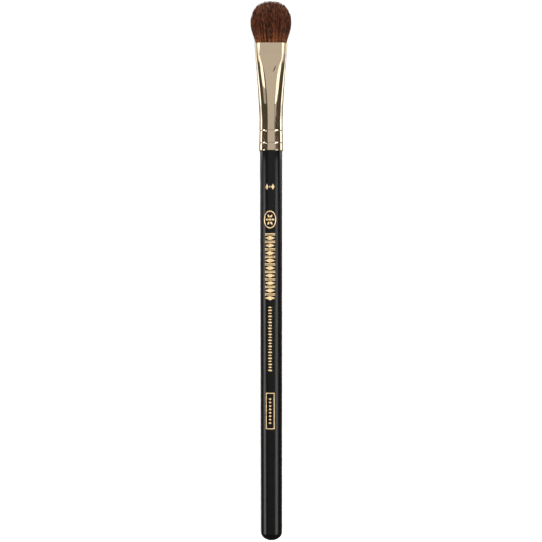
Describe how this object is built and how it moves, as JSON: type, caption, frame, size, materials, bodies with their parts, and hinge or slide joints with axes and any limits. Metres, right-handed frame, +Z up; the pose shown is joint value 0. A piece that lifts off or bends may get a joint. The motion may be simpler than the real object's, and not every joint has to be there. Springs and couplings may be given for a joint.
{
  "type": "blending brush",
  "caption": "Slender eyeshadow blending brush: straight lacquered handle, crimped metal ferrule pressed to a flared flat mouth, and a soft domed oval tuft of brown hair.",
  "frame": {"origin": "on the surface that the brush lies on, under the middle of its length and width", "axes": "+Y along the brush from the handle's butt towards the hair, +Z up out of the surface and square to the pressed flats, +X across the width"},
  "size_m": [0.0128, 0.17, 0.0076],
  "materials": {
    "handle_lacquer": "turned wood under black satin-gloss lacquer",
    "ferrule_plating": "polished pale gold plating on brass",
    "hair": "soft dark brown natural hair",
    "wood_glue": "cured glue line",
    "resin": "cured amber resin",
    "thread": "natural cotton thread"
  },
  "bodies": {
    "root": {"handle": "handle_lacquer", "ferrule": "ferrule_plating", "hair_tuft": "hair", "tenon_adhesive": "wood_glue", "root_cement": "resin", "binding_thread": "thread"}
  },
  "joints": []
}
